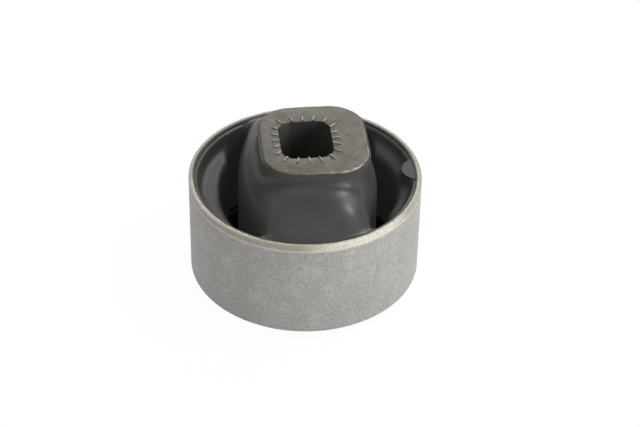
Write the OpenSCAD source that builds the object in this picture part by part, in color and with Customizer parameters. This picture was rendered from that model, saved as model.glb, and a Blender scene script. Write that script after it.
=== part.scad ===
// A rubber metal bush: a steel sleeve, a moulded rubber body with two open slots, and a cast
// core with a square bolt hole. All sizes are in millimetres. The origin is on the sleeve's
// axis at the core's lower end, and +Z runs up the axis to the end with the grip ribs.

/* [Sleeve] */
// Outer diameter of the steel sleeve, which is pressed into its seat
sleeve_diameter = 66; // [62:0.5:76]
// Thickness of the sleeve's wall
sleeve_wall = 1.75; // [1.3:0.05:2.2]
// Length of the sleeve along its axis
sleeve_length = 30.6; // [28:0.2:40]
// How far the lead-in at the sleeve's upper edge is turned down
lead_in_height = 1.8; // [0.8:0.1:3]
// How far the lead-in at the sleeve's upper edge is turned in
lead_in_depth = 1; // [0.4:0.1:1.2]
// Chamfer on the sleeve's lower outer edge
lower_chamfer = 0.6; // [0.2:0.1:1]

/* [Core] */
// Width of the core across the slots, along X
core_width = 29.4; // [26:0.2:31]
// Depth of the core along the rubber arms, along Y
core_depth = 32; // [28:0.2:36]
// Radius of the core's upright corners
core_corner = 9.4; // [6:0.2:12]
// How far the core's outline sits off the sleeve's axis, along X
core_shift = 2.2; // [0:0.1:3]
// How far the core stands above the sleeve
core_above = 12.2; // [9:0.2:16]
// How far the core stands below the sleeve
core_below = 1.2; // [0.8:0.2:8]
// Chamfer on the outer edges of the core's end faces
core_edge = 0.4; // [0.2:0.1:0.6]
// Width of the bolt hole, along X
hole_width = 14.7; // [10:0.1:17]
// Depth of the bolt hole, along Y
hole_depth = 17.5; // [12:0.1:20]
// Radius of the bolt hole's corners
hole_corner = 4; // [2:0.2:4.8]
// Chamfer on the edges of the bolt hole
hole_edge = 0.4; // [0.2:0.1:0.8]

/* [Grip ribs] */
// Number of raised ribs round the bolt hole, evenly turned
rib_count = 20; // [8:1:28]
// Length of a rib outwards from the hole's edge
rib_length = 2.3; // [1:0.1:4]
// Width of a rib
rib_width = 0.6; // [0.4:0.05:1]
// Height of a rib above the core's upper end face
rib_height = 0.35; // [0.2:0.05:0.8]

/* [Rubber at the sleeve] */
// Thickness of the rubber lining on the sleeve's inner face
lining = 1.1; // [0.8:0.05:1.6]
// How far the lining stops short of the sleeve's upper edge
lip_setback = 0.15; // [0.05:0.05:0.6]
// How far the lining stops short of the sleeve's lower edge
foot_setback = 1.2; // [0.4:0.1:2]
// Width of the half-round locating rib on the lining
nub_width = 8.6; // [5:0.2:11]
// How far the locating rib stands out of the lining
nub_depth = 2.6; // [1.5:0.1:3.2]

/* [Rubber stops] */
// Distance from the sleeve's axis to the left stop's straight ends, along X
left_end_reach = 20.8; // [19:0.1:23]
// Distance from the sleeve's axis to the right stop's straight ends, along X
right_end_reach = 21.5; // [20:0.1:23]
// Radius of the hollow face that the left stop turns to the core
left_face_radius = 38; // [30:1:60]
// Radius of the hollow face that the right stop turns to the core
right_face_radius = 23; // [22:0.5:40]
// How far the left stop's ledge lies below the sleeve's upper edge, at the lining
left_ledge_drop = 4.2; // [2:0.1:6]
// How steeply the left ledge falls towards the core, in degrees
left_ledge_slope = 16; // [5:1:30]
// How far the right stop's ledge lies below the sleeve's upper edge, at the lining
right_ledge_drop = 2.4; // [1.6:0.1:6]
// How steeply the right ledge falls towards the core, in degrees
right_ledge_slope = 34; // [5:1:40]
// How far the stops' undersides lie above the sleeve's lower edge
stop_foot_rise = 4.2; // [2:0.1:6]

/* [Rubber body] */
// How far the rubber body and the stops sit off the sleeve's axis, along X
rubber_shift = 0.7; // [0:0.1:2]
// Width of the body across its two bulged sides, along X
body_width = 39.6; // [38:0.2:41]
// Radius of the left bulged side in plan
left_side_radius = 60; // [45:1:80]
// Radius of the right bulged side in plan
right_side_radius = 34; // [30:1:60]
// Distance from the sleeve's axis to the bulged sides' ends at the front and the back
side_reach = 23; // [18:0.2:23.6]
// Radius that rounds the bulged sides' upper edges
side_round = 8; // [3:0.5:9]
// How far the upper rounding starts below the sleeve's upper edge
side_drop = 2; // [1:0.1:5]
// Radius that rounds the bulged sides' lower edges
side_foot_round = 3; // [1:0.2:3.4]
// How far the lower rounding starts above the sleeve's lower edge
side_foot_rise = 5.2; // [4:0.1:7]
// Width of the two arms from the bulged sides to the lining, along X
arm_width = 30.8; // [26:0.2:34]
// Width of the open slot between the body and the middle of the left stop, along X
left_slot_width = 4.9; // [4.2:0.1:5.4]
// Width of the open slot between the body and the middle of the right stop, along X
right_slot_width = 5.7; // [4.8:0.1:6]
// How far the arms' upper side lies below the sleeve's upper edge, at the lining
arm_drop = 0.4; // [0.2:0.1:4]
// How far the arms' lower side lies above the sleeve's lower edge, at the lining
arm_foot_rise = 4.2; // [2:0.1:6]
// How far the body's upper shoulder rises above the sleeve's upper edge
shoulder_rise = 7.4; // [4:0.1:8]
// How far the body's lower shoulder lies above the sleeve's lower edge
shoulder_foot_rise = 1; // [0.5:0.1:1.8]
// How far the crown of the upper slopes rises above the sleeve's upper edge
crown_rise = 4.6; // [4.2:0.1:5]
// Distance from the sleeve's axis to the crown of the upper slopes
crown_radius = 24.2; // [22:0.1:25]
// Width of the crown across the arms, along X
crown_width = 28.4; // [20:0.2:30]
// Thickness of the rubber jacket on the core's sides
jacket = 0.6; // [0.4:0.1:1.4]
// Length of bare core above the jacket
bare_above = 0.7; // [0.6:0.1:0.9]
// Length of bare core below the jacket
bare_below = 0.8; // [0.6:0.1:1.8]

/* [Hidden] */
$fn = 96;
// Heights of the sleeve's two edges and of the core's upper end face
sleeve_low = core_below;
sleeve_top = sleeve_low + sleeve_length;
core_top = sleeve_top + core_above;
// Radii of the sleeve's outer and inner faces, and of the lining's free face
sleeve_radius = sleeve_diameter / 2;
bore_radius = sleeve_radius - sleeve_wall;
throat_radius = bore_radius - lining;
// Arms, stops and locating rib all end halfway into the lining, which they are moulded with
root_radius = bore_radius - lining / 2;
// Height at which the bulged sides' upper rounding ends
side_top = sleeve_top - side_drop + side_round;
// Distance by which the bulged sides' ends lie under the slopes to the lining
side_cover = 1;
// Circle of the locating rib, from its width and depth
nub_radius = (pow(nub_width / 2, 2) + pow(nub_depth, 2)) / (2 * nub_depth);
// Thickness of the slices that shape the body's slopes, and the side count of their arcs
slice = 0.05;
slope_sides = 48;
// How far cutting shapes run past the faces that they cut
past = 1;

// Section of one side of a block, from its middle out, with a chamfer at each end.
// A chamfer below zero flares the section outwards instead.
function side_section(half, low, top, low_edge, top_edge) = [
    [0, low],
    [half - low_edge, low],
    [half, low + abs(low_edge)],
    [half, top - abs(top_edge)],
    [half - top_edge, top],
    [0, top]
];

// Both sides of the same section
module full_section(half, low, top, low_edge, top_edge) {
    right_side = side_section(half, low, top, low_edge, top_edge);
    polygon(right_side);
    mirror([1, 0]) polygon(right_side);
}

// Upright block with rounded corners, chamfered or flared at its two ends
module rounded_block(width, depth, corner, low, top, low_edge, top_edge) {
    post_x = width / 2 - corner;
    post_y = depth / 2 - corner;
    rotate([90, 0, 90])
        linear_extrude(height = 2 * post_x, center = true)
            full_section(depth / 2, low, top, low_edge, top_edge);
    rotate([90, 0, 0])
        linear_extrude(height = 2 * post_y, center = true)
            full_section(width / 2, low, top, low_edge, top_edge);
    for (x = [-post_x, post_x], y = [-post_y, post_y])
        translate([x, y, 0])
            rotate_extrude()
                polygon(side_section(corner, low, top, low_edge, top_edge));
}

// Outline of the core, or of the jacket when it is grown by the jacket's thickness
module core_outline(grow, sides) {
    corner = core_corner + grow;
    width = core_width + 2 * grow;
    depth = core_depth + 2 * grow;
    translate([core_shift, 0]) {
        square([width - 2 * corner, depth], center = true);
        square([width, depth - 2 * corner], center = true);
        for (x = [-1, 1], y = [-1, 1])
            translate([x * (width / 2 - corner), y * (depth / 2 - corner)])
                circle(r = corner, $fn = sides);
    }
}

// Outline of a disc about the sleeve's axis, cut down to a strip about the body's middle line
module strip_outline(width, radius, sides) {
    intersection() {
        circle(r = radius, $fn = sides);
        translate([rubber_shift, 0]) square([width, 2 * sleeve_radius], center = true);
    }
}

// Outline of the two rubber arms, which run to the lining at the front and the back
module arms_outline(sides) {
    strip_outline(arm_width, root_radius, sides);
}

// Thin slice of an outline, with its underside at the given height
module at_height(z) {
    translate([0, 0, z]) linear_extrude(height = slice) children();
}

// Sleeve: a length of steel tube, turned with a lead-in at the top and a chamfer at the bottom
module outer_sleeve() {
    color("#a09f9b")
        rotate_extrude()
            polygon([
                [bore_radius, sleeve_low],
                [sleeve_radius - lower_chamfer, sleeve_low],
                [sleeve_radius, sleeve_low + lower_chamfer],
                [sleeve_radius, sleeve_top - lead_in_height],
                [sleeve_radius - lead_in_depth, sleeve_top],
                [bore_radius, sleeve_top]
            ]);
}

// Thin rubber lining over the sleeve's inner face
module lining_ring() {
    low = sleeve_low + foot_setback;
    top = sleeve_top - lip_setback;
    rotate_extrude()
        polygon([[throat_radius, low], [bore_radius, low], [bore_radius, top], [throat_radius, top]]);
}

// Two arms, with slopes up and down to the jacket's outline
module arms() {
    arm_low = sleeve_low + arm_foot_rise;
    arm_top = sleeve_top - arm_drop;
    translate([0, 0, arm_low])
        linear_extrude(height = arm_top - arm_low)
            arms_outline($fn);
    hull() {
        at_height(arm_top - slice) arms_outline(slope_sides);
        at_height(sleeve_top + crown_rise - slice)
            strip_outline(crown_width, crown_radius, slope_sides);
        at_height(sleeve_top + shoulder_rise - slice) core_outline(jacket, slope_sides);
    }
    hull() {
        at_height(sleeve_low + shoulder_foot_rise) core_outline(jacket, slope_sides);
        at_height(arm_low) arms_outline(slope_sides);
    }
}

// Round drum whose edge shapes one bulged side (-1 left, 1 right), with rounded edges
module side_drum(side, radius) {
    low = sleeve_low + side_foot_rise;
    top = sleeve_top - side_drop;
    translate([rubber_shift + side * (body_width / 2 - radius), 0, 0])
        rotate_extrude() {
            translate([0, low]) square([radius, top - low]);
            translate([0, top]) square([radius - side_round, side_round]);
            translate([0, low - side_foot_round])
                square([radius - side_foot_round, side_foot_round]);
            intersection() {
                translate([radius - side_round, top]) circle(r = side_round);
                square([radius, core_top]);
            }
            intersection() {
                translate([radius - side_foot_round, low]) circle(r = side_foot_round);
                square([radius, core_top]);
            }
        }
}

// Bulged sides of the body, cut off under the slopes at the front and the back
module bulged_sides() {
    shoulder_y = core_depth / 2 + jacket;
    slope = (shoulder_rise - crown_rise) / (crown_radius - shoulder_y);
    end_top = sleeve_top + shoulder_rise - (side_reach - shoulder_y) * slope - side_cover;
    flat_y = side_reach - (side_top - end_top) / slope;
    intersection() {
        side_drum(-1, left_side_radius);
        side_drum(1, right_side_radius);
        rotate([90, 0, 90])
            linear_extrude(height = 2 * sleeve_radius, center = true)
                polygon([
                    [-side_reach, sleeve_low],
                    [side_reach, sleeve_low],
                    [side_reach, end_top],
                    [flat_y, side_top],
                    [-flat_y, side_top],
                    [-side_reach, end_top]
                ]);
    }
}

// Thin jacket on the core's sides, almost as long as the core
module core_jacket() {
    translate([0, 0, bare_below])
        linear_extrude(height = core_top - bare_above - bare_below)
            core_outline(jacket, $fn);
}

// Stop on one side of the lining (-1 left, 1 right), which the body meets when it is pushed far
module stop(side, end_reach, slot_width, face_radius, ledge_drop, ledge_slope) {
    low = sleeve_low + stop_foot_rise;
    top = sleeve_top - ledge_drop;
    inner = throat_radius / 2;
    fall = (throat_radius - inner) * tan(ledge_slope);
    intersection() {
        translate([0, 0, low])
            linear_extrude(height = top - low)
                difference() {
                    translate([side * (end_reach + sleeve_radius) / 2, 0])
                        square([sleeve_radius - end_reach, 2 * sleeve_radius], center = true);
                    translate([rubber_shift + side * (body_width / 2 + slot_width - face_radius), 0])
                        circle(r = face_radius);
                }
        rotate_extrude()
            polygon([[inner, low - past], [root_radius, low - past], [root_radius, top],
                [throat_radius, top], [inner, top - fall]]);
    }
}

// Half-round upright rib on the lining, from the right ledge up to the lip
module locating_rib() {
    low = sleeve_low + stop_foot_rise;
    top = sleeve_top - lip_setback;
    ledge = sleeve_top - right_ledge_drop - nub_depth * tan(right_ledge_slope) - slice;
    intersection() {
        translate([0, 0, max(low, ledge)])
            linear_extrude(height = top - max(low, ledge))
                translate([throat_radius - nub_depth + nub_radius, 0])
                    circle(r = nub_radius);
        cylinder(r = root_radius, h = core_top);
    }
}

// Rubber body: one moulding, bonded to the sleeve's inner face and to the core's sides
module rubber_body() {
    color("#3d3d3c")
        difference() {
            union() {
                lining_ring();
                arms();
                bulged_sides();
                core_jacket();
                stop(-1, left_end_reach, left_slot_width, left_face_radius,
                    left_ledge_drop, left_ledge_slope);
                stop(1, right_end_reach, right_slot_width, right_face_radius,
                    right_ledge_drop, right_ledge_slope);
                locating_rib();
            }
            translate([core_shift, 0, 0])
                rounded_block(core_width, core_depth, core_corner, -past, core_top + past, 0, 0);
        }
}

// Distance from the hole's middle to its edge in the given direction
function hole_edge_distance(angle) =
    let (
        along = abs(cos(angle)),
        across = abs(sin(angle)),
        flat = min(hole_width / 2 / max(along, 0.001), hole_depth / 2 / max(across, 0.001)),
        post_x = hole_width / 2 - hole_corner,
        post_y = hole_depth / 2 - hole_corner,
        shadow = along * post_x + across * post_y,
        offset_squared = post_x * post_x + post_y * post_y - hole_corner * hole_corner
    )
    flat * along > post_x && flat * across > post_y
        ? shadow + sqrt(shadow * shadow - offset_squared)
        : flat;

// Raised rib with a round outer end, which starts at the hole's edge
module grip_rib(angle) {
    reach = hole_edge_distance(angle) + rib_length - rib_width / 2;
    rotate([0, 0, angle])
        translate([0, 0, core_top - slice])
            linear_extrude(height = rib_height + slice) {
                translate([0, -rib_width / 2]) square([reach, rib_width]);
                translate([reach, 0]) circle(d = rib_width);
            }
}

// Core: one casting with a square hole for the bolt, and grip ribs on its upper end face
module inner_core() {
    color("#7a776f")
        difference() {
            union() {
                translate([core_shift, 0, 0])
                    rounded_block(core_width, core_depth, core_corner, 0, core_top,
                        core_edge, core_edge);
                for (i = [0:rib_count - 1]) grip_rib(i * 360 / rib_count);
            }
            rounded_block(hole_width, hole_depth, hole_corner, 0, core_top, -hole_edge, -hole_edge);
            rounded_block(hole_width, hole_depth, hole_corner, -past, core_top + past, 0, 0);
        }
}

outer_sleeve();
rubber_body();
inner_core();
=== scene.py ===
import bpy
import math
import random
from mathutils import Matrix, Vector


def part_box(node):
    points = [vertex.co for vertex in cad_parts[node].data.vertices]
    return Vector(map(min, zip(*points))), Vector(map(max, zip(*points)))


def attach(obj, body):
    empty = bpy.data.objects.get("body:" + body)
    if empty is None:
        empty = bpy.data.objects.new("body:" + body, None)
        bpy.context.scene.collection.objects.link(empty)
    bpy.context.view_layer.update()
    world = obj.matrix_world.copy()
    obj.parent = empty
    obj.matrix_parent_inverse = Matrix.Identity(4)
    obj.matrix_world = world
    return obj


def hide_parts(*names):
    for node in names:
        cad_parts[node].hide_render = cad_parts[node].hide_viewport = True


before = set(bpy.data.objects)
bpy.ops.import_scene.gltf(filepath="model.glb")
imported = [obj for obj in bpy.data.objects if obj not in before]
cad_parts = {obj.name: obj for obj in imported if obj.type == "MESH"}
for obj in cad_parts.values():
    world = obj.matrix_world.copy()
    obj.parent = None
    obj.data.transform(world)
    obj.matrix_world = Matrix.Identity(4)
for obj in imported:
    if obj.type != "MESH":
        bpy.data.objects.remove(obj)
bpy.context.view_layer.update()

# Setting: the bush stands on a white photo table, under soft lamps.
# The camera looks down on it from the front and a little from the left, through a long lens.
mm = 0.001
sleeve_low, sleeve_high = (Vector(corner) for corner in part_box("outer_sleeve"))
core_low, core_high = (Vector(corner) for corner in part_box("inner_core"))

view_azimuth = math.radians(-6.9)
view_elevation = math.radians(37.77)
view_roll = math.radians(1.126)
view_distance = 558.6 * mm
view_shift_right = 4.64 * mm
view_shift_up = 13.1 * mm
# Blender takes the lens and the sensor as plain numbers of millimetres.
lens_length = 107.3
sensor_width = 36

level_right = Vector((math.cos(view_azimuth), math.sin(view_azimuth), 0))
view_back = Vector((math.sin(view_azimuth) * math.cos(view_elevation),
                    -math.cos(view_azimuth) * math.cos(view_elevation),
                    math.sin(view_elevation)))
level_up = view_back.cross(level_right)
view_right = math.cos(view_roll) * level_right + math.sin(view_roll) * level_up
view_up = math.cos(view_roll) * level_up - math.sin(view_roll) * level_right
aim = Vector((0, 0, sleeve_low.z)) + view_shift_right * view_right + view_shift_up * view_up

camera_data = bpy.data.cameras.new("camera")
camera_data.sensor_width = sensor_width
camera_data.lens = lens_length
camera = bpy.data.objects.new("camera", camera_data)
camera.matrix_world = Matrix((view_right, view_up, view_back)).transposed().to_4x4()
camera.matrix_world.translation = aim + view_distance * view_back
bpy.context.scene.collection.objects.link(camera)
bpy.context.scene.camera = camera
bpy.context.scene.view_settings.view_transform = "Standard"


def linear(hex_colour):
    """Turn an sRGB hex colour into the linear values that Blender's sockets take."""
    parts = [int(hex_colour[i:i + 2], 16) / 255 for i in (1, 3, 5)]
    return [p / 12.92 if p <= 0.04045 else ((p + 0.055) / 1.055) ** 2.4 for p in parts] + [1]


def node(tree, kind, settings=None, **links):
    """Add a node; settings are its properties, and links are its sockets' values or sources."""
    new = tree.nodes.new(kind)
    for name, value in (settings or {}).items():
        setattr(new, name, value)
    for name, value in links.items():
        key = int(name[1:]) if name[0] == "_" else name.replace("_", " ")
        if isinstance(value, bpy.types.NodeSocket):
            tree.links.new(value, new.inputs[key])
        else:
            new.inputs[key].default_value = value
    return new


def maths(tree, operation, first, second):
    """One arithmetic step on two values."""
    return node(tree, "ShaderNodeMath", {"operation": operation}, _0=first, _1=second).outputs[0]


def blend(tree, share, under, over):
    """Lay one colour over another by a share."""
    return node(tree, "ShaderNodeMix", {"data_type": "RGBA"}, _0=share, _6=under,
                _7=over).outputs[2]


def new_material(name):
    """Start an empty material and return it with its node tree."""
    material = bpy.data.materials.new(name)
    material.use_nodes = True
    material.node_tree.nodes.clear()
    return material, material.node_tree


# White table top: white to the camera and in reflections, with a faint shadow of its own.
# Under the bush, and a little further at the back, it is painted nearly black, a painted shadow
# that makes the slots look deep.
table_radius = 4
painted_shadow_radius = 30.6 * mm
painted_shadow_border = 0.6 * mm
painted_shadow_behind = 4 * mm
behind_depth = 24 * mm
clear_white = 0.96
table_white, tree = new_material("matte_white_table")
ray = node(tree, "ShaderNodeLightPath").outputs
seen = maths(tree, "MAXIMUM", ray["Is Camera Ray"], ray["Is Glossy Ray"])
spot = node(tree, "ShaderNodeTexCoord").outputs["Object"]
from_middle = node(tree, "ShaderNodeVectorMath", {"operation": "LENGTH"}, _0=spot)
backwards = node(tree, "ShaderNodeSeparateXYZ", _0=spot).outputs[1]
behind = node(tree, "ShaderNodeMapRange", _0=backwards, _1=0.0, _2=behind_depth,
              _3=0.0, _4=painted_shadow_behind)
past_edge = maths(tree, "SUBTRACT", from_middle.outputs["Value"], behind.outputs[0])
clear_share = node(tree, "ShaderNodeMapRange", _0=past_edge, _1=painted_shadow_radius,
                   _2=painted_shadow_radius + painted_shadow_border, _3=0.0, _4=clear_white).outputs[0]
seen_share = maths(tree, "MULTIPLY", seen, clear_share)
# Painted shadow: the table is near black within the shadow's reach and white beyond it.
shaded = blend(tree, clear_share, linear("#222222"), linear("#f4f4f4"))
lit = node(tree, "ShaderNodeBsdfDiffuse", Color=shaded)
glow = node(tree, "ShaderNodeEmission", Strength=1.0)
top = node(tree, "ShaderNodeMixShader", _0=seen_share, _1=lit.outputs[0], _2=glow.outputs[0])
node(tree, "ShaderNodeOutputMaterial", Surface=top.outputs[0])

bpy.ops.mesh.primitive_circle_add(vertices=96, radius=table_radius, fill_type="NGON")
table = bpy.context.object
table.name = "table_top"
table.data.materials.append(table_white)

# Studio air: white where the camera looks past the table, and dark as light.
air_light = 0.02
world = bpy.data.worlds.new("studio")
world.use_nodes = True
bpy.context.scene.world = world
tree = world.node_tree
tree.nodes.clear()
ray = node(tree, "ShaderNodeLightPath").outputs
strength = node(tree, "ShaderNodeMapRange", _0=ray["Is Camera Ray"], _3=air_light, _4=1.0)
air = node(tree, "ShaderNodeBackground", Color=linear("#ffffff"), Strength=strength.outputs[0])
node(tree, "ShaderNodeOutputWorld", Surface=air.outputs[0])

lamp_distance = 800 * mm
lamp_aim = Vector((0, 0, 20 * mm))


def softbox(name, azimuth, elevation, width, watts):
    """Hang a square soft lamp that faces the bush; azimuth 0 is on the right, 90 at the back."""
    lamp = bpy.data.lights.new(name, "AREA")
    lamp.size = width
    lamp.energy = watts
    holder = bpy.data.objects.new(name, lamp)
    turn, lift = math.radians(azimuth), math.radians(elevation)
    way = Vector((math.cos(turn) * math.cos(lift), math.sin(turn) * math.cos(lift), math.sin(lift)))
    holder.location = lamp_aim + lamp_distance * way
    holder.rotation_euler = way.to_track_quat("Z", "Y").to_euler()
    bpy.context.scene.collection.objects.link(holder)


# Lamps: azimuth and elevation in degrees, width in metres, and watts.
softbox("key_right", 3, 57, 0.15, 3.2)
softbox("front_right_low", 315, 18, 0.4, 4.0)
softbox("back_right", 45, 38, 0.5, 2.3)
softbox("back_low", 90, 19, 0.4, 1.8)
softbox("back_left", 128, 48, 0.6, 1.1)
softbox("left", 180, 38, 0.7, 1.2)
softbox("front", 250, 55, 0.6, 1.4)


# Outer sleeve: a length of steel tube, turned with a lead-in at the top, then blasted with
# fine grit so that the rubber bonds to it, and phosphated. It is the first thing in the mould.
sleeve_wall = 1.75 * mm
lead_in_height = 1.8 * mm
lead_in_depth = 1.0 * mm
lower_chamfer = 0.6 * mm
turned_edge = 0.12 * mm
turning_steps = 256
sleeve_radius = sleeve_high.x
bore_radius = sleeve_radius - sleeve_wall
rim_radius = sleeve_radius - lead_in_depth
lead_in_foot = sleeve_high.z - lead_in_height


def cut_away(place, way, fill=False):
    """In edit mode, cut off what lies beyond a plane, on the side that the way points to."""
    bpy.ops.mesh.select_all(action="SELECT")
    bpy.ops.mesh.bisect(plane_co=place, plane_no=way, clear_outer=True, use_fill=fill)


def finish_mesh(sharp_angle):
    """Merge the active piece's doubles, turn its faces out and smooth all but its sharp edges."""
    bpy.ops.object.mode_set(mode="EDIT")
    bpy.ops.mesh.select_all(action="SELECT")
    bpy.ops.mesh.remove_doubles(threshold=0.001 * mm)
    bpy.ops.mesh.normals_make_consistent(inside=False)
    bpy.ops.object.mode_set(mode="OBJECT")
    bpy.ops.object.shade_smooth_by_angle(angle=math.radians(sharp_angle))


# The wall's section is cut from a flat sheet, and its outline is then turned about the axis.
bpy.ops.mesh.primitive_plane_add(size=1, rotation=(math.radians(90), 0, 0),
                                 location=(sleeve_radius - sleeve_wall / 2, 0,
                                           (sleeve_low.z + sleeve_high.z) / 2))
sleeve = bpy.context.object
sleeve.name = "steel_sleeve"
sleeve.scale = (sleeve_wall, sleeve_high.z - sleeve_low.z, 1)
bpy.ops.object.transform_apply(location=True, rotation=True, scale=True)
bpy.ops.object.mode_set(mode="EDIT")
cut_away((sleeve_radius, 0, lead_in_foot), (lead_in_height, 0, lead_in_depth))
cut_away((sleeve_radius, 0, sleeve_low.z + lower_chamfer), (1, 0, -1))
bpy.ops.mesh.select_all(action="SELECT")
bpy.ops.mesh.bevel(offset=turned_edge, segments=3, affect="VERTICES")
bpy.ops.mesh.select_all(action="SELECT")
bpy.ops.mesh.delete(type="ONLY_FACE")
bpy.ops.mesh.select_all(action="SELECT")
bpy.ops.mesh.spin(steps=turning_steps, angle=math.radians(360), center=(0, 0, 0), axis=(0, 0, 1))
finish_mesh(30)


def section_place(tree, place):
    """From a place, give the radius, the height, and both as one flat section point."""
    parts = node(tree, "ShaderNodeSeparateXYZ", _0=place)
    level = node(tree, "ShaderNodeVectorMath", {"operation": "MULTIPLY"}, _0=place, _1=(1, 1, 0))
    radius = node(tree, "ShaderNodeVectorMath", {"operation": "LENGTH"}, _0=level.outputs[0])
    point = node(tree, "ShaderNodeCombineXYZ", _0=radius.outputs["Value"], _1=parts.outputs[2])
    return radius.outputs["Value"], parts.outputs[2], point.outputs[0]


def noise(tree, place, size, detail=3.0, roughness=0.6):
    """Noise with features of about the given size in metres; gives a value about 0.5."""
    return node(tree, "ShaderNodeTexNoise", Vector=place, Scale=1 / size, Detail=detail,
                Roughness=roughness).outputs["Fac"]


def ramp(tree, value, low, high, start=0.0, end=1.0):
    """Map a value from low..high to start..end, smoothly and held at both ends."""
    return node(tree, "ShaderNodeMapRange", {"interpolation_type": "SMOOTHSTEP"}, _0=value,
                _1=low, _2=high, _3=start, _4=end).outputs[0]


def near_line(tree, point, line, wobble, inner, outer):
    """1 close to a ring seen as a point of the section, 0 away from it, with a ragged border."""
    away = node(tree, "ShaderNodeVectorMath", {"operation": "DISTANCE"}, _0=point, _1=line)
    ragged = maths(tree, "ADD", away.outputs["Value"], wobble)
    return ramp(tree, ragged, inner, outer, 1.0, 0.0)


# Blasted and phosphated steel: a dull grey metal with a grain of a quarter of a millimetre, faint
# clouds and scuffs. The turned lead-in is smoother and warmer, and at the front right it carries a
# painted highlight, pale and broken into flecks, where the lamps light it.
# Rubber that crept over the rim in the mould stains the rim's inner edge dark and ragged.
steel_grain = 0.26 * mm
cloud_size = 8 * mm
scuff_size = 5 * mm
fleck_size = 0.8 * mm
ragged_size = 0.7 * mm
ragged_reach = 0.18 * mm
band_blur = 0.1 * mm
highlight_right_weight = 0.39
highlight_front_weight = 0.92
highlight_from = 27.6 * mm
highlight_to = 32.4 * mm
grey_from = -10 * mm
grey_to = 14 * mm
blasted_steel, tree = new_material("blasted_phosphated_steel")
place = node(tree, "ShaderNodeTexCoord").outputs["Object"]
radius, height, point = section_place(tree, place)
grain = noise(tree, place, steel_grain, 2.0, 0.7)
clouds = noise(tree, place, cloud_size, 4.0, 0.6)
wobble = ramp(tree, noise(tree, place, ragged_size), 0.3, 0.7, -ragged_reach, ragged_reach)
colour = blend(tree, ramp(tree, grain, 0.3, 0.7), linear("#7f7e7c"), linear("#b9b8b5"))
colour = blend(tree, ramp(tree, clouds, 0.35, 0.7, 0.0, 0.28), colour, linear("#938d84"))
scuffs = ramp(tree, noise(tree, place, scuff_size, 8.0, 0.8), 0.5, 0.72, 0.0, 0.4)
colour = blend(tree, scuffs, colour, linear("#c6c5c1"))

# The turned lead-in, with a pale line where it meets the blasted face.
band = ramp(tree, maths(tree, "ADD", height, wobble), lead_in_foot - band_blur,
            lead_in_foot + band_blur)
across = node(tree, "ShaderNodeSeparateXYZ", _0=place).outputs
# Painted highlight: the lead-in is painted pale in flecks towards the front right.
to_front_right = maths(tree, "SUBTRACT", maths(tree, "MULTIPLY", across[0], highlight_right_weight),
                       maths(tree, "MULTIPLY", across[1], highlight_front_weight))
turned = blend(tree, ramp(tree, grain, 0.3, 0.7), linear("#8b867b"), linear("#aea99d"))
flecks = ramp(tree, noise(tree, place, fleck_size), 0.35, 0.65, 0.55, 1.0)
painted_highlight = maths(tree, "MULTIPLY",
               ramp(tree, to_front_right, highlight_from, highlight_to, 0.0, 0.85), flecks)
turned = blend(tree, painted_highlight, turned, linear("#dedacf"))
colour = blend(tree, band, colour, turned)
lower_line = near_line(tree, point, (sleeve_radius, lead_in_foot, 0), wobble,
                       0.1 * mm, 0.4 * mm)
colour = blend(tree, maths(tree, "MULTIPLY", lower_line, 0.6), colour, linear("#cfccc2"))

# The rim's flat top, painted darker towards the back as painted shade, and a pale line on its
# outer edge, a painted highlight that is strong at the front and fades out towards the back.
in_rim = ramp(tree, radius, rim_radius + 0.05 * mm, rim_radius + 0.2 * mm, 1.0, 0.0)
on_rim = ramp(tree, height, sleeve_high.z - 0.15 * mm, sleeve_high.z - 0.05 * mm)
to_back = ramp(tree, across[1], grey_from, grey_to)
rim_top_colour_with_painted_shade = blend(tree, to_back, linear("#5f5d58"), linear("#343330"))
colour = blend(tree, maths(tree, "MULTIPLY", in_rim, on_rim), colour, rim_top_colour_with_painted_shade)
upper_line = near_line(tree, point, (rim_radius, sleeve_high.z, 0),
                       maths(tree, "MULTIPLY", wobble, 0.5), 0.05 * mm, 0.24 * mm)
rim_edge_highlight_share = maths(tree, "MULTIPLY", upper_line, ramp(tree, to_back, 0.0, 1.0, 0.85, 0.05))
colour = blend(tree, rim_edge_highlight_share, colour, linear("#cfcbbf"))

# The rubber's smear on the rim's inner edge and inside the tube.
smear = near_line(tree, point, (bore_radius, sleeve_high.z, 0), wobble, 0.2 * mm, 0.34 * mm)
in_tube = ramp(tree, radius, bore_radius + 0.05 * mm, bore_radius + 0.15 * mm, 1.0, 0.0)
stain = maths(tree, "MAXIMUM", maths(tree, "MULTIPLY", smear, 0.85), in_tube)
colour = blend(tree, stain, colour, linear("#2c2b29"))

bump_strength = ramp(tree, band, 0.0, 1.0, 0.55, 0.25)
relief = node(tree, "ShaderNodeBump", Strength=bump_strength, Distance=0.07 * mm, Height=grain)
roughness = ramp(tree, grain, 0.3, 0.7, 0.66, 0.5)
surface = node(tree, "ShaderNodeBsdfPrincipled", Base_Color=colour, Metallic=0.35,
               Roughness=roughness, Normal=relief.outputs[0])
node(tree, "ShaderNodeOutputMaterial", Surface=surface.outputs[0])
sleeve.data.materials.append(blasted_steel)
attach(sleeve, "root")
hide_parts("outer_sleeve")


# Inner core: an iron casting with a square hole for the bolt. Raised ribs, cast round the hole,
# bite into the bracket. It goes into the mould inside the sleeve, a little right of its axis.
core_corner = 9.4 * mm
core_edge = 0.4 * mm
hole_width = 14.7 * mm
hole_depth = 17.5 * mm
hole_corner = 4.0 * mm
hole_edge = 0.3 * mm
hole_margin = 1 * mm
rib_count = 20
rib_length = 2.3 * mm
rib_spread = (0.88, 1.06)
rib_width = 0.55 * mm
rib_rounding = 0.42
rib_height = 0.35 * mm
rib_sunk = 0.3 * mm
rib_gap = 0.05 * mm
same_height = 0.01 * mm
core_top = core_high.z - rib_height
core_middle = (core_low + core_high) / 2
core_width = core_high.x - core_low.x
core_depth = core_high.y - core_low.y


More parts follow.
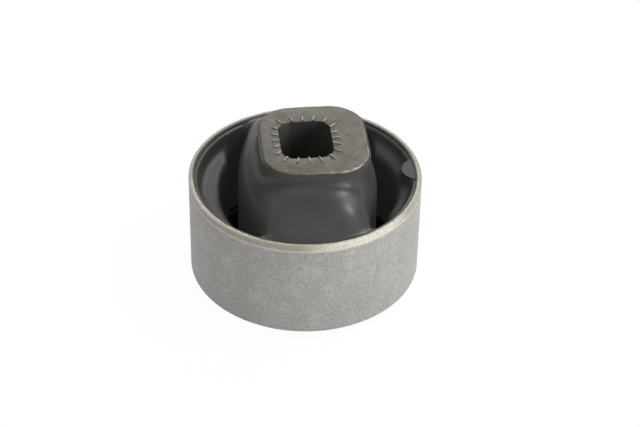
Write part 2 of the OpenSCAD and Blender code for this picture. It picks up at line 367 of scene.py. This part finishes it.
def choose_edges(piece, test):
    """In edit mode, select only the edges whose middle and direction pass the test."""
    bpy.ops.mesh.select_mode(type="EDGE")
    bpy.ops.mesh.select_all(action="DESELECT")
    bpy.ops.object.mode_set(mode="OBJECT")
    points = piece.data.vertices
    for edge in piece.data.edges:
        ends = [points[i].co for i in edge.vertices]
        edge.select = test((ends[0] + ends[1]) / 2, (ends[1] - ends[0]).normalized())
    bpy.ops.object.mode_set(mode="EDIT")


def rounded_block(name, x, width, depth, corner, low, top):
    """Add an upright block with rounded corners, in object mode, and return it."""
    bpy.ops.mesh.primitive_cube_add(size=1, location=(x, 0, (low + top) / 2))
    block = bpy.context.object
    block.name = name
    block.scale = (width, depth, top - low)
    bpy.ops.object.transform_apply(location=True, rotation=True, scale=True)
    bpy.ops.object.mode_set(mode="EDIT")
    choose_edges(block, lambda middle, way: abs(way.z) > 0.9)
    bpy.ops.mesh.bevel(offset=corner, segments=16, affect="EDGES")
    bpy.ops.object.mode_set(mode="OBJECT")
    return block


def carve(piece, cutter, operation="DIFFERENCE", solver="EXACT"):
    """Cut, join or intersect a piece with another one, which is then removed."""
    bpy.ops.object.select_all(action="DESELECT")
    bpy.context.view_layer.objects.active = piece
    piece.select_set(True)
    change = piece.modifiers.new("carve", "BOOLEAN")
    change.operation = operation
    change.solver = solver
    change.object = cutter
    bpy.ops.object.modifier_apply(modifier=change.name)
    bpy.data.objects.remove(cutter)


def in_hole(middle):
    """Whether a point lies in the hole or on its edge."""
    return (abs(middle.x) < hole_width / 2 + hole_margin
            and abs(middle.y) < hole_depth / 2 + hole_margin)


def at_end(middle):
    """Whether a point lies on the core's upper or lower end face."""
    return min(abs(middle.z - core_low.z), abs(middle.z - core_top)) < same_height


core = rounded_block("cast_core", core_middle.x, core_width, core_depth, core_corner,
                     core_low.z, core_top)
carve(core, rounded_block("hole", 0, hole_width, hole_depth, hole_corner,
                          core_low.z - hole_margin, core_top + hole_margin))
bpy.ops.object.mode_set(mode="EDIT")
choose_edges(core, lambda middle, way: at_end(middle) and in_hole(middle))
bpy.ops.mesh.bevel(offset=hole_edge, segments=2, affect="EDGES")
choose_edges(core, lambda middle, way: at_end(middle) and not in_hole(middle)
             and abs(way.z) < 0.1)
bpy.ops.mesh.bevel(offset=core_edge, segments=3, affect="EDGES")
bpy.ops.object.mode_set(mode="OBJECT")


def hole_edge_distance(angle):
    """Distance from the hole's middle to its edge in one direction."""
    along = max(abs(math.cos(angle)), 1e-6)
    across = max(abs(math.sin(angle)), 1e-6)
    flat = min(hole_width / 2 / along, hole_depth / 2 / across)
    post_x = hole_width / 2 - hole_corner
    post_y = hole_depth / 2 - hole_corner
    if flat * along <= post_x or flat * across <= post_y:
        return flat
    shadow = along * post_x + across * post_y
    return shadow + math.sqrt(shadow ** 2 - post_x ** 2 - post_y ** 2 + hole_corner ** 2)


# Each rib lies along the right, is rounded on top but for its end at the hole, and is then
# turned to its place.
chance = random.Random(7)
for i in range(rib_count):
    angle = 2 * math.pi * i / rib_count
    start = hole_edge_distance(angle) + rib_gap
    length = rib_length * chance.uniform(*rib_spread)
    bpy.ops.mesh.primitive_cube_add(size=1, location=(start + length / 2, 0,
                                                      core_top + (rib_height - rib_sunk) / 2))
    rib = bpy.context.object
    rib.scale = (length, rib_width, rib_height + rib_sunk)
    bpy.ops.object.transform_apply(location=True, rotation=True, scale=True)
    bpy.ops.object.mode_set(mode="EDIT")
    choose_edges(rib, lambda middle, way: middle.z > core_top + rib_height * 0.9
                 and not (abs(way.y) > 0.9 and middle.x < start + length / 2))
    bpy.ops.mesh.bevel(offset=rib_width * rib_rounding, segments=3, affect="EDGES")
    bpy.ops.object.mode_set(mode="OBJECT")
    rib.rotation_euler = (0, 0, angle)
    bpy.ops.object.transform_apply(location=True, rotation=True, scale=True)
    carve(core, rib, "UNION")
finish_mesh(35)


def block_distance(tree, place, middle, width, depth, corner):
    """Distance outside the outline of an upright rounded block, below zero inside it."""
    centred = node(tree, "ShaderNodeVectorMath", {"operation": "SUBTRACT"}, _0=place,
                   _1=(middle, 0, 0))
    level = node(tree, "ShaderNodeVectorMath", {"operation": "MULTIPLY"},
                 _0=centred.outputs[0], _1=(1, 1, 0))
    folded = node(tree, "ShaderNodeVectorMath", {"operation": "ABSOLUTE"}, _0=level.outputs[0])
    past_posts = node(tree, "ShaderNodeVectorMath", {"operation": "SUBTRACT"},
                      _0=folded.outputs[0], _1=(width / 2 - corner, depth / 2 - corner, 0))
    outside = node(tree, "ShaderNodeVectorMath", {"operation": "MAXIMUM"},
                   _0=past_posts.outputs[0], _1=(0, 0, 0))
    length = node(tree, "ShaderNodeVectorMath", {"operation": "LENGTH"}, _0=outside.outputs[0])
    parts = node(tree, "ShaderNodeSeparateXYZ", _0=past_posts.outputs[0])
    inside = maths(tree, "MINIMUM", maths(tree, "MAXIMUM", parts.outputs[0], parts.outputs[1]), 0)
    reach = maths(tree, "ADD", length.outputs["Value"], inside)
    return maths(tree, "SUBTRACT", reach, corner)


# Raw iron casting: grey-brown and mottled, with a sandy grain of about 0.4 mm. The ribs' tops are
# worn pale and carry a painted highlight, painted highlights lie on the hole's rim and on the outer
# edge at the front right, and the hole's walls are painted dark as painted shade.
iron_grain = 0.4 * mm
patch_size = 4 * mm
soot_size = 2.2 * mm
pit_size = 0.5 * mm
edge_highlight_patch_size = 2.5 * mm
rib_wear_and_highlight_size = 0.9 * mm
edge_ragged_size = 0.8 * mm
edge_ragged_reach = 0.15 * mm
edge_highlight_from = 6 * mm
edge_highlight_to = 20 * mm
cast_iron, tree = new_material("raw_cast_iron")
place = node(tree, "ShaderNodeTexCoord").outputs["Object"]
across = node(tree, "ShaderNodeSeparateXYZ", _0=place).outputs
grain = noise(tree, place, iron_grain, 4.0, 0.75)
patches = noise(tree, place, patch_size, 5.0, 0.65)
wobble = ramp(tree, noise(tree, place, edge_ragged_size), 0.3, 0.7, -edge_ragged_reach,
              edge_ragged_reach)
colour = blend(tree, ramp(tree, patches, 0.35, 0.65), linear("#42423d"), linear("#5c5850"))
colour = blend(tree, ramp(tree, grain, 0.35, 0.65, 0.0, 0.75), colour, linear("#7d786e"))
soot = ramp(tree, noise(tree, place, soot_size), 0.33, 0.43, 0.55, 0.0)
colour = blend(tree, soot, colour, linear("#45433e"))
pits = ramp(tree, noise(tree, place, pit_size, 2.0, 0.5), 0.32, 0.42, 0.7, 0.0)
colour = blend(tree, pits, colour, linear("#35332f"))

# The pale places: a painted highlight on the outer edge at the front right, the ribs' tops, worn
# pale and with a painted highlight, and a painted highlight on the hole's rim.
hole_distance = block_distance(tree, place, 0, hole_width, hole_depth, hole_corner)
outer_distance = block_distance(tree, place, core_middle.x, core_width, core_depth, core_corner)
edge_band = ramp(tree, maths(tree, "ADD", outer_distance, wobble), -0.3 * mm, -0.1 * mm)
# Painted highlight on the outer edge, strongest at the front right and broken into patches.
highlight_side = maths(tree, "SUBTRACT", across[0], maths(tree, "MULTIPLY", across[1], 0.7))
painted_highlight = maths(tree, "MULTIPLY", ramp(tree, highlight_side, edge_highlight_from, edge_highlight_to, 0.05, 0.8),
               ramp(tree, noise(tree, place, edge_highlight_patch_size), 0.35, 0.6, 0.2, 1.0))
colour = blend(tree, maths(tree, "MULTIPLY", edge_band, painted_highlight), colour, linear("#b9b4a8"))
# The ribs' tops: worn pale, and painted lighter as a highlight as well.
rib_top = ramp(tree, across[2], core_top + 0.15 * mm, core_top + 0.3 * mm)
rib_wear_and_highlight = maths(tree, "MULTIPLY", rib_top,
                 ramp(tree, noise(tree, place, rib_wear_and_highlight_size), 0.35, 0.65, 0.3, 1.0))
colour = blend(tree, rib_wear_and_highlight, colour, linear("#a5a196"))
# Painted highlight on the hole's chamfered rim.
rim = ramp(tree, hole_distance, 0.0, hole_edge, 1.0, 0.0)
colour = blend(tree, maths(tree, "MULTIPLY", rim, 0.7), colour, linear("#9b978c"))
# Painted shade: the hole's walls are painted dark.
in_bore = ramp(tree, hole_distance, 0.04 * mm, 0.1 * mm, 1.0, 0.0)
colour = blend(tree, in_bore, colour, linear("#393937"))
relief = node(tree, "ShaderNodeBump", Strength=0.8, Distance=0.1 * mm, Height=grain)
metal = ramp(tree, in_bore, 0.0, 1.0, 0.5, 0.1)
surface = node(tree, "ShaderNodeBsdfPrincipled", Base_Color=colour, Metallic=metal,
               Roughness=0.55, Normal=relief.outputs[0])
node(tree, "ShaderNodeOutputMaterial", Surface=surface.outputs[0])
core.data.materials.append(cast_iron)
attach(core, "root")
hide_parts("inner_core")


# Rubber body: one moulding of dark natural rubber, pressed in hot between sleeve and core and
# bonded to both. Two open slots leave it soft to the left and right and stiff along its arms.
lining = 1.1 * mm
lip_setback = 0.15 * mm
foot_setback = 1.2 * mm
rubber_shift = 0.7 * mm
jacket = 0.6 * mm
jacket_overrun = 8 * mm
bare_above = 0.7 * mm
bare_below = 0.8 * mm
spare = 1.5 * mm
rounding_step = 0.5 * mm
rounding_passes = 50
throat_radius = bore_radius - lining
lining_low = sleeve_low.z + foot_setback
lining_top = sleeve_high.z - lip_setback


def drum(name, x, radius, low, top, sides=192):
    """Add an upright cylinder and return it."""
    bpy.ops.mesh.primitive_cylinder_add(vertices=sides, radius=radius, depth=top - low,
                                        location=(x, 0, (low + top) / 2))
    bpy.ops.object.transform_apply(location=True, rotation=True, scale=True)
    bpy.context.object.name = name
    return bpy.context.object


def add_jacket():
    """Add the block that the jacket on the core is cut from, longer than the core."""
    return rounded_block("jacket", core_middle.x, core_width + 2 * jacket,
                         core_depth + 2 * jacket, core_corner + jacket,
                         core_low.z - jacket_overrun, core_top + jacket_overrun)


def join(pieces):
    """Make several pieces into one object, which keeps the first one's name."""
    bpy.ops.object.select_all(action="DESELECT")
    for piece in pieces:
        piece.select_set(True)
    bpy.context.view_layer.objects.active = pieces[0]
    bpy.ops.object.join()
    return pieces[0]


def melt_together(pieces, step):
    """Join pieces into one closed skin with soft fillets, as rubber flows in a mould."""
    whole = join(pieces)
    melt = whole.modifiers.new("melt", "REMESH")
    melt.mode = "VOXEL"
    melt.voxel_size = step
    bpy.ops.object.modifier_apply(modifier=melt.name)
    soften = whole.modifiers.new("soften", "SMOOTH")
    soften.factor = 0.5
    soften.iterations = rounding_passes
    bpy.ops.object.modifier_apply(modifier=soften.name)
    return whole


lining_ring = drum("rubber_moulding", 0, bore_radius + spare, lining_low, lining_top)
carve(lining_ring, drum("throat", 0, throat_radius, lining_low - spare, lining_top + spare))
jacket_block = add_jacket()

# The body's bulged sides are the edges of two great drums, one from each side. Its ends are cut
# off, and its top falls away from the shoulder towards both ends.
body_half = 19.8 * mm
left_side_radius = 60.0 * mm
right_side_radius = 34.0 * mm
side_reach = 23.0 * mm
side_round = 8.0 * mm
side_drop = 2.0 * mm
side_foot_rise = 5.2 * mm
side_foot_round = 3.0 * mm
side_cover = 1.0 * mm
shoulder_rise = 8.8 * mm
crown_rise = 4.6 * mm
crown_radius = 24.2 * mm
side_low = sleeve_low.z + side_foot_rise - side_foot_round
side_top = sleeve_high.z - side_drop + side_round
shoulder_y = core_depth / 2 + jacket
side_slope = (shoulder_rise - crown_rise) / (crown_radius - shoulder_y)
end_top = sleeve_high.z + shoulder_rise - (side_reach - shoulder_y) * side_slope - side_cover


def side_drum(side, radius):
    """Add the drum whose edge shapes one bulged side, with rounded edges."""
    piece = drum("bulged_side", rubber_shift + side * (body_half - radius), radius,
                 side_low, side_top, sides=360)
    bpy.ops.object.mode_set(mode="EDIT")
    choose_edges(piece, lambda middle, way: middle.z > side_top - same_height
                 and abs(way.z) < 0.1)
    bpy.ops.mesh.bevel(offset=side_round, segments=12, affect="EDGES")
    choose_edges(piece, lambda middle, way: middle.z < side_low + same_height
                 and abs(way.z) < 0.1)
    bpy.ops.mesh.bevel(offset=side_foot_round, segments=6, affect="EDGES")
    bpy.ops.object.mode_set(mode="OBJECT")
    return piece


bulge = side_drum(-1, left_side_radius)
carve(bulge, side_drum(1, right_side_radius), "INTERSECT")
bpy.ops.object.mode_set(mode="EDIT")
for way in (-1, 1):
    cut_away((0, way * side_reach, 0), (0, way, 0), fill=True)
    cut_away((0, way * side_reach, end_top), (0, way * side_slope, 1), fill=True)
bpy.ops.object.mode_set(mode="OBJECT")

# The two arms and the shoulder are one tight skin round a flat strip that runs from lining to
# lining, four balls that round its upper corners, and a narrow block round the core.
# Each crown corner gives x, y, the height above the sleeve's foot, and the ball's radius.
arm_width = 30.8 * mm
arm_overrun = 3.5 * mm
arm_drop = 3.0 * mm
arm_foot_rise = 4.8 * mm
crown_corners = ((-7.7 * mm, 20.5 * mm, 28.5 * mm, 7.5 * mm),
                 (8.0 * mm, 20.3 * mm, 29.1 * mm, 8.0 * mm))
shoulder_shift = -1 * mm
shoulder_width = 17 * mm
shoulder_corner = 8.4 * mm
shoulder_foot_rise = 1.0 * mm

arms = drum("arms", 0, bore_radius - lining / 2 + arm_overrun, sleeve_low.z + arm_foot_rise,
            sleeve_high.z - arm_drop, sides=96)
bpy.ops.object.mode_set(mode="EDIT")
for way in (-1, 1):
    cut_away((rubber_shift + way * arm_width / 2, 0, 0), (way, 0, 0))
bpy.ops.object.mode_set(mode="OBJECT")
arm_pieces = [arms]
for x, y, height, radius in crown_corners:
    for side in (-1, 1):
        bpy.ops.mesh.primitive_uv_sphere_add(segments=48, ring_count=24, radius=radius,
                                             location=(x, side * y, sleeve_low.z + height))
        bpy.ops.object.transform_apply(location=True, rotation=True, scale=True)
        arm_pieces.append(bpy.context.object)
arm_pieces.append(rounded_block("shoulders", shoulder_shift, shoulder_width,
                                core_depth + 2 * jacket, shoulder_corner,
                                sleeve_low.z + shoulder_foot_rise,
                                sleeve_high.z + shoulder_rise))
arms = join(arm_pieces)
bpy.ops.object.mode_set(mode="EDIT")
bpy.ops.mesh.select_all(action="SELECT")
bpy.ops.mesh.convex_hull()
bpy.ops.object.mode_set(mode="OBJECT")
body = melt_together([arms, bulge, jacket_block], 2 * rounding_step)
rubber_pieces = [lining_ring, body, add_jacket()]

# The two stops stand on the lining across each slot. Their upper ledge slopes down to the slot.
# Each row gives the side, the distance of the stop's ends from the middle, the slot's width, the
# radius of the stop's face, the ledge's depth below the rim, and its slope in degrees.
stop_foot_rise = 4.2 * mm
stops = ((-1, 20.8 * mm, 4.9 * mm, 38 * mm, 4.2 * mm, 16),
         (1, 21.5 * mm, 5.7 * mm, 23 * mm, 2.4 * mm, 34))
slope_foot = throat_radius / 2
for side, end_reach, slot_width, face_radius, ledge_drop, ledge_slope in stops:
    stop_low = sleeve_low.z + stop_foot_rise
    stop_top = sleeve_high.z - ledge_drop
    bpy.ops.mesh.primitive_cube_add(size=1)
    stop = bpy.context.object
    stop.name = "stop"
    stop.scale = (bore_radius - end_reach, 2 * bore_radius, stop_top - stop_low)
    stop.location = (side * (bore_radius + end_reach) / 2, 0, (stop_low + stop_top) / 2)
    bpy.ops.object.transform_apply(location=True, rotation=True, scale=True)
    carve(stop, drum("outside", 0, bore_radius + spare / 2, stop_low - spare, stop_top + spare),
          "INTERSECT")
    face_middle = rubber_shift + side * (body_half + slot_width - face_radius)
    carve(stop, drum("face", face_middle, face_radius, stop_low - spare, stop_top + spare))
    fall = (throat_radius - slope_foot) * math.tan(math.radians(ledge_slope))
    bpy.ops.mesh.primitive_cone_add(vertices=192, radius1=slope_foot, radius2=throat_radius,
                                    depth=fall, location=(0, 0, stop_top - fall / 2))
    carve(stop, bpy.context.object)
    rubber_pieces.append(stop)

nub_width = 8.6 * mm
nub_depth = 2.6 * mm
nub_foot_rise = 12 * mm
nub_radius = ((nub_width / 2) ** 2 + nub_depth ** 2) / (2 * nub_depth)


def add_nub(reach):
    """Add the upright half-round rib on the right of the lining, ending at the given radius."""
    piece = drum("nub", throat_radius - nub_depth + nub_radius, nub_radius,
                 sleeve_low.z + nub_foot_rise, lining_top, sides=64)
    carve(piece, drum("outside", 0, reach, 0, core_top, sides=turning_steps), "INTERSECT")
    return piece


# All the rubber is melted into one skin, then trimmed to the faces that it is bonded to. The
# half-round rib is added once more, because its edges are crisp.
rubber_pieces.append(add_nub(bore_radius + spare / 2))
rubber = melt_together(rubber_pieces, rounding_step)
carve(rubber, drum("bond_face", 0, bore_radius, bare_below, core_top - bare_above,
                   sides=turning_steps), "INTERSECT", "MANIFOLD")
carve(rubber, rounded_block("pocket", core_middle.x, core_width, core_depth, core_corner,
                            -spare, core_top + spare), "DIFFERENCE", "MANIFOLD")
carve(rubber, add_nub(bore_radius), "UNION")
finish_mesh(40)

# Moulded natural rubber: charcoal with a faint cloudy bloom, a half-matt skin and a few specks
# of dust. A trace of glow stands in for the stray light in the slots.
bloom_size = 6 * mm
dust_spacing = 6 * mm
moulded_rubber, tree = new_material("moulded_natural_rubber")
place = node(tree, "ShaderNodeTexCoord").outputs["Object"]
bloom = noise(tree, place, bloom_size, 3.0, 0.5)
colour = blend(tree, bloom, linear("#2f2f2d"), linear("#3c3c39"))
dots = node(tree, "ShaderNodeTexVoronoi", Vector=place, Scale=1 / dust_spacing)
dust = ramp(tree, dots.outputs["Distance"], 0.015, 0.03, 0.45, 0.0)
colour = blend(tree, dust, colour, linear("#a3a39f"))
surface = node(tree, "ShaderNodeBsdfPrincipled", Base_Color=colour, Roughness=0.38,
               Specular_IOR_Level=0.32, Emission_Strength=0.0065)
node(tree, "ShaderNodeOutputMaterial", Surface=surface.outputs[0])
# Joining and cutting leave an empty material slot, so it is cleared first.
rubber.data.materials.clear()
rubber.data.materials.append(moulded_rubber)
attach(rubber, "root")
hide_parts("rubber_body")
